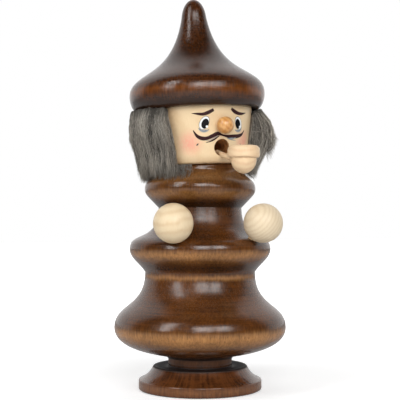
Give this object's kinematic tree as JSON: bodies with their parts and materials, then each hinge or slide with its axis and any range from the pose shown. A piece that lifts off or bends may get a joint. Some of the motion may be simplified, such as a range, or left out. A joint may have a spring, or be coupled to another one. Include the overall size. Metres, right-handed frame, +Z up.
{
  "type": "incense smoker figure",
  "caption": "Turned-wood incense smoker: a figure in a tiered robe with a pointed hat, fur hair, ball hands and a pipe, which lifts off its round foot to reach the cone.",
  "frame": {"origin": "middle of the foot's flat underside", "axes": "+Z up along the robe's axis, the face and the pipe along -Y"},
  "size_m": [0.088, 0.0976, 0.2003],
  "materials": {
    "stained_wood": "walnut stain under gloss lacquer",
    "pale_wood": "fine sanded, thin satin lacquer",
    "orange_wood": "tinted satin lacquer",
    "pipe_wood": "satin",
    "plate_metal": "pressed, dull",
    "nail_steel": "plain",
    "pelt_leather": "matte",
    "grey_fur": "fur"
  },
  "bodies": {
    "foot": {"foot": "stained_wood", "incense_plate": "plate_metal", "plate_pin": "nail_steel"},
    "figure": {"robe": "stained_wood", "hat": "stained_wood", "head": "pale_wood", "right_hand": "pale_wood", "left_hand": "pale_wood", "right_hand_dowel": "pale_wood", "left_hand_dowel": "pale_wood", "hat_dowel": "pale_wood", "nose": "orange_wood", "pipe_bowl": "pipe_wood", "pipe_stem": "pipe_wood", "hair_pelt": "pelt_leather", "hair": "grey_fur"}
  },
  "joints": [
    {"name": "figure_lift", "type": "slide", "parent": "foot", "child": "figure", "axis": [0, 0, 1], "range_m": [0, 0.05]}
  ]
}
